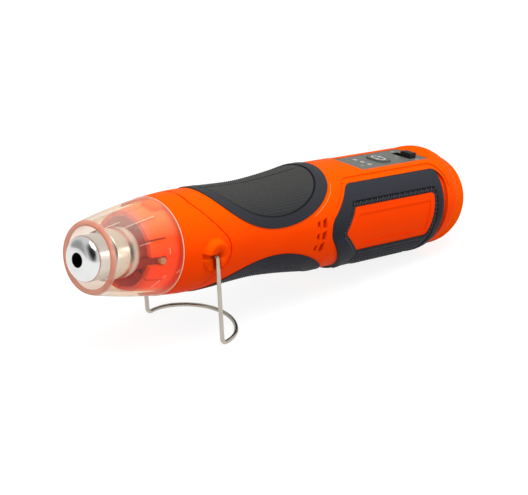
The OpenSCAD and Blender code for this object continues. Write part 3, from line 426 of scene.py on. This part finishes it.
def from_axis(tree, x, turn, side=1):
    """Cast at the axis; a turn of 0 looks down from above, and 90 from the side."""
    out = Vector((0, side * math.sin(math.radians(turn)), math.cos(math.radians(turn))))
    return first_hit(tree, Vector((x, 0, 0)) + out * OUTSIDE, -out)


def from_top(tree, x, y):
    return first_hit(tree, Vector((x, y, OUTSIDE)), Vector((0, 0, -1)))


class Shape:
    """Collects small raised forms into one mesh."""

    def __init__(self):
        self.verts, self.faces = [], []

    def bar(self, path, width, height, sink=0.1, top=0.6):
        """A raised strip through (point, normal) stations, its flat top a share of its width."""
        path = [p for p in path if p]
        if len(path) < 2:
            return
        base, last = len(self.verts), len(path) - 1
        for i, (point, normal) in enumerate(path):
            before, after = path[max(i - 1, 0)][0], path[min(i + 1, last)][0]
            side = (after - before).normalized().cross(normal).normalized() * (width / 2)
            for across, lift in ((-1, -sink), (-top, height), (top, height), (1, -sink)):
                self.verts.append(point + side * across + normal * lift)
        for i in range(last):
            a = base + 4 * i
            self.faces += [(a + k, a + k + 1, a + k + 5, a + k + 4) for k in range(3)]
        end = base + 4 * last
        self.faces += [(base + 3, base + 2, base + 1, base), (end, end + 1, end + 2, end + 3)]

    def dome(self, point, normal, r, h):
        """A low bump of six sides."""
        sides = 6
        u = Vector((1, 0, 0)).cross(normal).normalized()
        v = normal.cross(u)
        base = len(self.verts)
        self.verts.append(point + normal * h)
        for share, lift in ((0.6, 0.75 * h), (1.0, -0.1)):
            for i in range(sides):
                a = 2 * math.pi * i / sides
                out = u * math.cos(a) + v * math.sin(a)
                self.verts.append(point + out * (r * share) + normal * lift)
        inner, outer = base + 1, base + 1 + sides
        for i in range(sides):
            j = (i + 1) % sides
            self.faces += [(base, inner + i, inner + j), (inner + i, outer + i, outer + j, inner + j)]

    def lathe(self, profile, stops=96):
        """Turns a closed profile of (x, radius) points about the tool's axis."""
        n = len(profile)
        base = len(self.verts)
        for i in range(stops):
            a = 2 * math.pi * i / stops
            self.verts += [Vector((x, -r * math.sin(a), r * math.cos(a))) for x, r in profile]
        for i in range(stops):
            a, b = base + n * i, base + n * ((i + 1) % stops)
            self.faces += [(a + k, a + (k + 1) % n, b + (k + 1) % n, b + k) for k in range(n)]

    def piece(self, name, look, body="body", crease=None):
        """The mesh as a piece on a body, smooth up to a crease in degrees, or flat."""
        mesh = bpy.data.meshes.new(name)
        mesh.from_pydata([tuple(TOOL @ v) for v in self.verts], [], self.faces)
        mesh.materials.append(look)
        mesh.polygons.foreach_set("use_smooth", [crease is not None] * len(mesh.polygons))
        if crease:
            mesh.set_sharp_from_angle(angle=math.radians(crease))
        obj = bpy.data.objects.new(name, mesh)
        bpy.context.scene.collection.objects.link(obj)
        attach(obj, body)
        return obj


def grip_dots():
    """Rows of small raised dots in the field of each grip."""
    front_x, pitch, row_turn, rim = 58.9, 1.42, 3.5, 0.8
    for side_name, side in SIDES.items():
        for grip, (cx, cz, r) in GRIPS.items():
            tree = skin(f"{grip}_grip_{side_name}")
            dots = Shape()
            for row in range(1, 26):
                turn = row * row_turn if grip == "upper" else 180 - row * row_turn
                for i in range(60):
                    hit = from_axis(tree, front_x + pitch * i, turn, side)
                    if hit and math.hypot(hit[0].x - cx, hit[0].z - cz) <= r - rim:
                        dots.dome(*hit, 0.5, 0.26)
            dots.piece(f"{grip}_grip_dots_{side_name}", dot_rubber, crease=80)


def parting_lines():
    """Fine dark line where the two halves of the upper grip meet."""
    front_x, step, beside = 66, 1.5, 1.2
    tree = skin("upper_grip_left", "upper_grip_right")
    line = Shape()
    stations = [from_axis(tree, front_x + step * i, beside) for i in range(44)]
    line.bar([(Vector((p.x, 0, p.z)), n) for p, n in (s for s in stations if s)], 0.42, 0.05, top=0.9)
    line.piece("upper_grip_parting_line", line_black)


def grip_edge_lines():
    """Pale line in the shell just outside the rear of each upper grip."""
    cx, cz, _ = GRIPS["upper"]
    r, low, high, steps = 53.9, -66, -43, 18
    for side_name, side in SIDES.items():
        tree = skin(f"{side_name}_housing")
        turns = [math.radians(low + (high - low) * i / steps) for i in range(steps + 1)]
        line = Shape()
        line.bar([from_side(tree, side, cx + r * math.cos(a), cz + r * math.sin(a)) for a in turns],
                 0.3, 0.03, top=0.8)
        line.piece(f"upper_grip_edge_line_{side_name}", pale_orange)


def body_radius(x):
    """The body's radius about a place, beside any seam there."""
    clear_of_seam, clear_of_bosses = 1.1, 45
    hits = [from_axis(BODY_SKIN, x + d, clear_of_bosses, s) for d in (-clear_of_seam, clear_of_seam)
            for s in (1, -1)]
    radii = [math.hypot(h[0].y, h[0].z) for h in hits if h]
    return sum(radii) / len(radii)


def seam_line():
    """Red strip of painted shade over the seam between the nose collar and the housing, round the collar's
    tongue.
    """
    gap, proud, end, width = 0.25, 0.06, 21.0, 0.72
    tongue_x, tongue_r, straight = 55.5, 10.5 + gap, 49.5 + gap
    tongue = [(tongue_x + tongue_r * math.cos(math.radians(a)), tongue_r * math.sin(math.radians(a)))
              for a in range(-45, 46, 5)]
    high = tongue[-1]
    run = high[0] - straight
    joint = high[1] + run
    arm = [(straight, -end - over) for over in (2.0, 1.8, 1.4, 0.8, 0.0)]
    arm += [(straight, -end + (end - joint) * k / 4) for k in range(1, 5)]
    arm += [(straight + run * k / 4, -joint + run * k / 4) for k in range(1, 4)]
    path = arm + tongue + [(x, -z) for x, z in reversed(arm)]
    for side_name, side in SIDES.items():
        stations = []
        for x, z in path:
            floor_r = body_radius(x)
            r = floor_r + proud
            z = max(-r + 0.02, min(r - 0.02, z * r / floor_r))
            y = side * math.sqrt(r * r - z * z)
            stations.append((Vector((x, y, z)), Vector((0, y, z)) / r))
        line = Shape()
        line.bar(stations, width, 0.0, sink=0.3, top=0.95)
        line.piece(f"nose_seam_shade_{side_name}", painted_shade_red)


def stroke(tree, points, width, height, shape, cast=from_top, **kw):
    """A strip through points on the surface, with stations between them."""
    spacing = 0.8
    path = []
    for (ax, ay), (bx, by) in zip(points, points[1:]):
        n = max(1, int(math.hypot(bx - ax, by - ay) / spacing))
        path += [cast(tree, ax + (bx - ax) * k / n, ay + (by - ay) * k / n) for k in range(n)]
    path.append(cast(tree, *points[-1]))
    shape.bar(path, width, height, **kw)


def chevrons():
    """Raised arrowheads in the pads' sunk channel and at their edges, and rows of them under the plate."""
    head = ((-0.5, -0.55), (0.35, 0.0), (-0.5, 0.55))
    channel_x, channel_z, pitch, count = 151.6, 11.15, 4.38, 15
    between, channel_end = 2.2, channel_x + pitch * (count - 1)
    # Each line of heads: where it starts and ends, how many, and their size, turn and width
    lines = (((channel_x, channel_z), (channel_end, channel_z), count, 2.0, 90, 0.42),
             ((channel_x + between, channel_z), (channel_end + between, channel_z), count, 1.3, 90, 0.3),
             ((150.0, 9.4), (142.9, -1.5), 9, 1.5, 150, 0.32),
             ((143.6, -4.2), (154.2, -13.4), 9, 1.5, 215, 0.32),
             ((215.2, 8.0), (214.2, -13.0), 11, 1.5, 270, 0.32))
    field_x, field_z, step, row_step = 160.2, -14.6, 2.3, 2.1
    for side_name, side in SIDES.items():
        tree = skin(f"side_pad_{side_name}")
        marks = Shape()

        def side_cast(t, x, z):
            return from_side(t, side, x, z)

        def arrow(x, z, size, turn, width):
            c, s = math.cos(math.radians(turn)), math.sin(math.radians(turn))
            stroke(tree, [(x + size * (u * c - v * s), z + size * (u * s + v * c)) for u, v in head],
                   width, 0.36, marks, side_cast)

        for (x0, z0), (x1, z1), n, size, turn, width in lines:
            for k in (i / (n - 1) for i in range(n)):
                arrow(x0 + (x1 - x0) * k, z0 + (z1 - z0) * k, size, turn, width)
        for row in range(6):
            front, back = 160 + (2.2 * row if row > 3 else 0), 215 - 0.9 * row
            for i in range(25):
                x = field_x + step * i + (step / 2 if row % 2 else 0)
                if front < x < back:
                    arrow(x, field_z - row_step * row, 1.75, 90, 0.34)
        marks.piece(f"side_pad_texture_{side_name}", rib_rubber)


def button_sign():
    """White outline on the button, with an arrowhead on each long side."""
    cx, cy, w, h = 196.4, 0.1, 2.3, 3.7
    loop = [(-w, -h + 1.5), (-w + 1.1, -h), (w - 1.1, -h), (w, -h + 1.5), (w, h - 2.2)]
    head = [(w - 0.95, h - 2.7), (w, h - 1.5), (w + 0.95, h - 2.7)]
    button = skin("push_button")
    sign = Shape()
    for turn in (1, -1):
        for line in (loop, head):
            stroke(button, [(cx + turn * x, cy + turn * y) for x, y in line], 0.62, 0.05, sign, top=0.85)
    sign.piece("button_sign", white_mark, "button")


# Strokes as (across, along) points, in a box about 1 wide and 1.5 high
DIGITS = {
    "0": [(-0.5, -0.7), (0.5, -0.7), (0.5, 0.7), (-0.5, 0.7), (-0.5, -0.7)],
    "1": [(-0.3, 0.35), (0.1, 0.75), (0.1, -0.75)],
    "2": [(-0.5, 0.45), (-0.2, 0.75), (0.35, 0.7), (0.5, 0.3), (-0.5, -0.7), (0.55, -0.7)],
}


def panel_marks():
    """Small numbers by the switch and a zigzag under the lamps."""
    size, lamps_x, lamps_y = 1.15, 178.0, -4.6
    panel = skin("control_panel")
    marks = Shape()
    for text, x, y in (("2", 217.6, 7.6), ("1", 210.9, -0.4), ("0", 217.2, -8.6)):
        stroke(panel, [(x - size * v, y + size * u) for u, v in DIGITS[text]], 0.34, 0.04, marks, top=0.85)
    zigzag = [(-0.9, -0.6), (0.1, 0.6), (0.5, -0.6), (1.1, 0.1)]
    for line in zip(zigzag, zigzag[1:]):
        stroke(panel, [(lamps_x - v, lamps_y + u) for u, v in line], 0.26, 0.04, marks, top=0.85)
    marks.piece("panel_marks", faint_mark)


def knob_ribs():
    """Ribs along the switch's knob, and three finer ones across."""
    edge, end, cross_edge = 0.8, 0.5, 1.1
    tree = skin("switch_knob")
    box = [TO_TOOL @ v.co for v in frame["nodes"]["switch_knob"].data.vertices]
    x0, x1 = min(v.x for v in box), max(v.x for v in box)
    y0, y1 = min(v.y for v in box), max(v.y for v in box)
    ribs = Shape()
    for i in range(5):
        y = y0 + edge + (y1 - y0 - 2 * edge) * i / 4
        stroke(tree, [(x0 + end, y), (x1 - end, y)], 0.6, 0.22, ribs, top=0.5)
    for i in range(3):
        x = x0 + cross_edge + (x1 - x0 - 2 * cross_edge) * i / 2
        stroke(tree, [(x, y0 + end), (x, y1 - end)], 0.45, 0.14, ribs, top=0.5)
    ribs.piece("switch_knob_ribs", rib_black, "knob")


MOUTH_R, SHIELD_WALL = 16.1, 2.2


def shield_radius(x):
    """The shield's outer radius: it flares, a little less towards the collar."""
    t = x / COLLAR_FACE
    return MOUTH_R + 6.1 * t * (1.35 - 0.35 * t)


def clear_shield():
    """Smooth shield that stops just short of the collar's face, with its two small moulded tubes."""
    lip, lip_end, back_gap, tube_x = SHIELD_WALL / 2, 2.0, 0.05, 27.5
    front = [(lip - lip * math.sin(math.radians(a)), MOUTH_R - lip - lip * math.cos(math.radians(a)))
             for a in range(0, 181, 12)]
    length = COLLAR_FACE - back_gap - lip_end
    outer = [(x, shield_radius(x)) for x in (lip_end + length * k / 24 for k in range(25))]
    shell = Shape()
    shell.lathe(([(x, r - SHIELD_WALL) for x, r in outer][::-1] + front + outer)[::-1], 144)
    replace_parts(shell.piece("clear_shield_shell", shield, crease=50), "heat_shield")
    reach = shield_radius(tube_x) - SHIELD_WALL
    section = ((0.9, reach - 2.0), (1.3, reach - 2.15), (1.5, reach - 1.9), (1.5, reach + 0.3),
               (0.9, reach + 0.3))
    stops, n = 24, len(section)
    for side_name, side in SIDES.items():
        tube = Shape()
        for k in range(stops):
            turn = 2 * math.pi * k / stops
            tube.verts += [Vector((tube_x + r * math.cos(turn), side * y, r * side * math.sin(turn)))
                           for r, y in section]
            a, b = n * k, n * ((k + 1) % stops)
            tube.faces += [(a + m, a + (m + 1) % n, b + (m + 1) % n, b + m) for m in range(n)]
        tube.piece(f"shield_tube_{side_name}", tube_clear, crease=50)


# Where each mould ridge's painted highlight starts and ends, as x in mm and degrees from the top, and its
# width
MOULD_RIDGE_HIGHLIGHTS = ((2.4, 24.6, 10.5, 23.3, 0.2), (9.9, 34.7, 27.3, 30.6, 0.22), (13.9, 64.2, 19.5, 62.5, 0.2),
               (29.1, 73.3, 29.4, 80.8, 0.14), (23.8, 126.0, 26.3, 114.0, 0.14),
               (27.4, 111.4, 28.7, 107.2, 0.14), (34.3, 106.0, 35.6, 101.8, 0.14))


def shield_lines():
    """Fine mould ridges along the shield painted bright as their highlights, the bright ring at its rim and
    the shade behind it.
    """
    lines = Shape()
    for x0, t0, x1, t1, width in MOULD_RIDGE_HIGHLIGHTS:
        path = []
        for k in (i / 12 for i in range(13)):
            x, t = x0 + (x1 - x0) * k, math.radians(t0 + (t1 - t0) * k)
            out = Vector((0, -math.sin(t), math.cos(t)))
            path.append((Vector((x, 0, 0)) + out * shield_radius(x), out))
        lines.bar(path, width, 0.05, top=0.8)
    lines.piece("shield_mould_highlights", painted_highlight_line)
    rim_r, shade_r = 22.16, 21.2
    ring = Shape()
    ring.lathe([(36.62, rim_r), (36.62, rim_r + 0.14), (36.92, rim_r + 0.18), (36.92, rim_r + 0.02)], 144)
    ring.piece("shield_rim_ring", rim_line, crease=60)
    dark = Shape()
    dark.lathe([(37.02, shade_r), (37.02, rim_r + 0.06), (37.3, rim_r + 0.1), (37.3, shade_r)], 144)
    dark.piece("shield_rim_shade", painted_shade_red, crease=60)


def quarter(x, r, run, rise, turns):
    """Points of an arc about (x, r): run along the axis by the sine, rise from it by the cosine."""
    return [(x + run * math.sin(math.radians(a)), r + rise * math.cos(math.radians(a))) for a in turns]


def nozzle_shell():
    """Turned, polished nozzle: a neck in the can, a tube and a domed front with a round outlet."""
    r, hole, front, dome, wall = 10.25, 3.32, -1.54, 4.3, 0.7
    neck_r, neck_end, back = 10.1, 7.55, 11.6
    outer = quarter(front, hole, -dome, r - hole, range(0, 78, 3))
    inner = quarter(front, hole, wall - dome, r - wall - hole, range(77, -1, -7))
    nozzle = Shape()
    nozzle.lathe([(back, neck_r), (neck_end, neck_r), (neck_end - 0.05, r)] + outer +
                 [(front - dome, hole), (front - dome + wall, hole)] + inner + [(back, r - wall)])
    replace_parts(nozzle.piece("nozzle_shell", steel, crease=40), "nozzle")


def heater_can_shell():
    """Turned, polished can with a rolled front lip and a long rounded heel."""
    back, r, lip, heel_run, heel_rise, heel_x = 22.0, 11.4, 0.6, 4.4, 2.1, 17.4
    bore = 10.14
    front = quarter(8.1, r - lip, -lip, lip, range(75, -1, -15))
    heel = quarter(back - heel_run, r - heel_rise, heel_run, heel_rise, range(0, 91, 5))
    heel = [(x, y) for x, y in heel if x > heel_x]
    profile = [(7.5, bore)] + front + heel + [(21.4, 9.3), (16.5, 10.6), (12.0, bore)]
    can = Shape()
    can.lathe(profile[::-1])
    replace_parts(can.piece("heater_can_shell", can_steel, crease=40), "heater_can")


def nose_collar():
    """The collar's own solid with the tips of its petals set back to where the photograph has them."""
    tips_x = 20.9
    source = frame["nodes"]["nose_collar"]
    mesh = bpy.data.meshes.new("nose_collar_shell")
    bm = bmesh.new()
    bm.from_mesh(source.data)
    bm.transform(TO_TOOL)
    bmesh.ops.remove_doubles(bm, verts=bm.verts, dist=0.0005)
    cut = bmesh.ops.bisect_plane(bm, geom=bm.verts[:] + bm.edges[:] + bm.faces[:], plane_co=(tips_x, 0, 0),
                                 plane_no=(-1, 0, 0), clear_outer=True)
    rim = [e for e in cut["geom_cut"] if isinstance(e, bmesh.types.BMEdge)]
    bmesh.ops.holes_fill(bm, edges=rim, sides=0)
    bm.transform(TOOL)
    bm.to_mesh(mesh)
    bm.free()
    mesh.materials.append(orange)
    mesh.polygons.foreach_set("use_smooth", [True] * len(mesh.polygons))
    mesh.set_sharp_from_angle(angle=math.radians(35))
    obj = bpy.data.objects.new("nose_collar_shell", mesh)
    bpy.context.scene.collection.objects.link(obj)
    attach(obj, "body")
    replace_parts(obj, "nose_collar")


BODY_SKIN = skin("nose_collar", "left_housing", "right_housing")
nose_collar()
grip_dots()
parting_lines()
grip_edge_lines()
seam_line()
chevrons()
button_sign()
panel_marks()
knob_ribs()
clear_shield()
shield_lines()
nozzle_shell()
heater_can_shell()


# The camera's focal length and the photograph's width, in the photograph's pixels
FOCAL_PX, PHOTO_PX = 1800.0, 528.0


def camera():
    """The photograph's camera, whose place and directions are given in the tool frame."""
    eye = Vector((-513.126, -534.255, 229.455))
    right = Vector((0.6675015, -0.73674386, 0.10793623))
    up = Vector((0.13993636, 0.26649464, 0.95362384))
    ahead = Vector((0.73134093, 0.62144114, -0.28098283))
    data = bpy.data.cameras.new("camera")
    data.sensor_width = 36.0
    data.lens = data.sensor_width * FOCAL_PX / PHOTO_PX
    data.clip_start, data.clip_end = 0.01, 20
    cam = bpy.data.objects.new("camera", data)
    bpy.context.scene.collection.objects.link(cam)
    turn = Matrix((TURN @ right, TURN @ up, -(TURN @ ahead))).transposed()
    cam.matrix_world = Matrix.Translation(TOOL @ eye) @ turn.to_4x4()
    bpy.context.scene.camera = cam


MIDDLE = (0.0, 0.0, 0.045)


def area(name, place, size, power, glossy=False):
    """A square lamp at a place in metres, which looks at the middle of the tool."""
    data = bpy.data.lights.new(name, "AREA")
    data.shape = "SQUARE"
    data.size = size
    data.energy = power
    lamp_obj = bpy.data.objects.new(name, data)
    bpy.context.scene.collection.objects.link(lamp_obj)
    lamp_obj.location = place
    lamp_obj.visible_glossy = glossy
    lamp_obj.rotation_euler = (Vector(MIDDLE) - Vector(place)).to_track_quat("-Z", "Y").to_euler()


def floor():
    """White ground that is bright where it is seen and dimmer as a light."""
    half, sunk, bounce, seen = 6.0, 0.0002, 0.24, 0.84
    mesh = bpy.data.meshes.new("floor")
    mesh.from_pydata([(-half, -half, 0), (half, -half, 0), (half, half, 0), (-half, half, 0)], [],
                     [(0, 1, 2, 3)])
    obj = bpy.data.objects.new("floor", mesh)
    bpy.context.scene.collection.objects.link(obj)
    obj.location.z = -sunk
    m = bpy.data.materials.new("floor")
    m.use_nodes = True
    tree = m.node_tree
    n, l = tree.nodes, tree.links
    n.remove(n["Principled BSDF"])
    diff = n.new("ShaderNodeBsdfDiffuse")
    diff.inputs["Color"].default_value = (0.26, 0.26, 0.26, 1)
    emit = n.new("ShaderNodeEmission")
    emit.inputs["Color"].default_value = (1, 1, 1, 1)
    ray = n.new("ShaderNodeLightPath").outputs
    direct = math_node(tree, "MAXIMUM", ray["Is Camera Ray"], ray["Is Transmission Ray"])
    direct = math_node(tree, "MAXIMUM", direct, ray["Is Glossy Ray"])
    l.new(range_node(tree, direct, bounce, seen).outputs["Result"], emit.inputs["Strength"])
    add = n.new("ShaderNodeAddShader")
    l.new(diff.outputs[0], add.inputs[0])
    l.new(emit.outputs[0], add.inputs[1])
    l.new(add.outputs[0], n["Material Output"].inputs["Surface"])
    mesh.materials.append(m)


# Direction in the tool's frame, sizes in degrees of the dark core and of its soft edge, and its level
DARK_ZONES = (((-0.80, -0.35, 0.45), 14, 46, 0.02), ((-0.62, 0.78, 0.02), 12, 40, 0.5),
              ((0.60, -0.10, -0.78), 12, 34, 0.55))


def world():
    """White where it is seen; soft dark zones show in glossy surfaces and through clear ones."""
    in_gloss, through_clear, in_diffuse, seen = 0.80, 1.0, 0.52, 1.0
    w = bpy.data.worlds.new("world")
    bpy.context.scene.world = w
    w.use_nodes = True
    tree = w.node_tree
    n, l = tree.nodes, tree.links
    bg = n["Background"]
    ray = n.new("ShaderNodeLightPath").outputs
    sky = n.new("ShaderNodeTexCoord").outputs["Generated"]

    level = range_node(tree, ray["Is Transmission Ray"], in_gloss, through_clear).outputs["Result"]
    for direction, near, far, core_level in DARK_ZONES:
        along = dot_node(tree, sky, TURN @ Vector(direction).normalized())
        zone = range_node(tree, along, 1.0, core_level, math.cos(math.radians(far)),
                          math.cos(math.radians(near)))
        zone.interpolation_type = "SMOOTHSTEP"
        level = math_node(tree, "MULTIPLY", level, zone.outputs["Result"])

    sharp = math_node(tree, "MAXIMUM", ray["Is Glossy Ray"], ray["Is Transmission Ray"])
    level = blend(tree, sharp, in_diffuse, level)
    bg.inputs["Color"].default_value = (1, 1, 1, 1)
    l.new(blend(tree, ray["Is Camera Ray"], level, seen), bg.inputs["Strength"])


camera()
floor()
world()
area("key", (-0.25, -0.25, 1.0), 0.6, 5.6, glossy=True)
area("side", (-0.9, -0.1, 0.35), 0.5, 1.6)
area("front", (0.2, -1.0, 0.15), 0.7, 2.7)
area("tail", (0.9, -0.7, 0.3), 0.5, 2.0)

bpy.context.scene.view_settings.view_transform = "Standard"
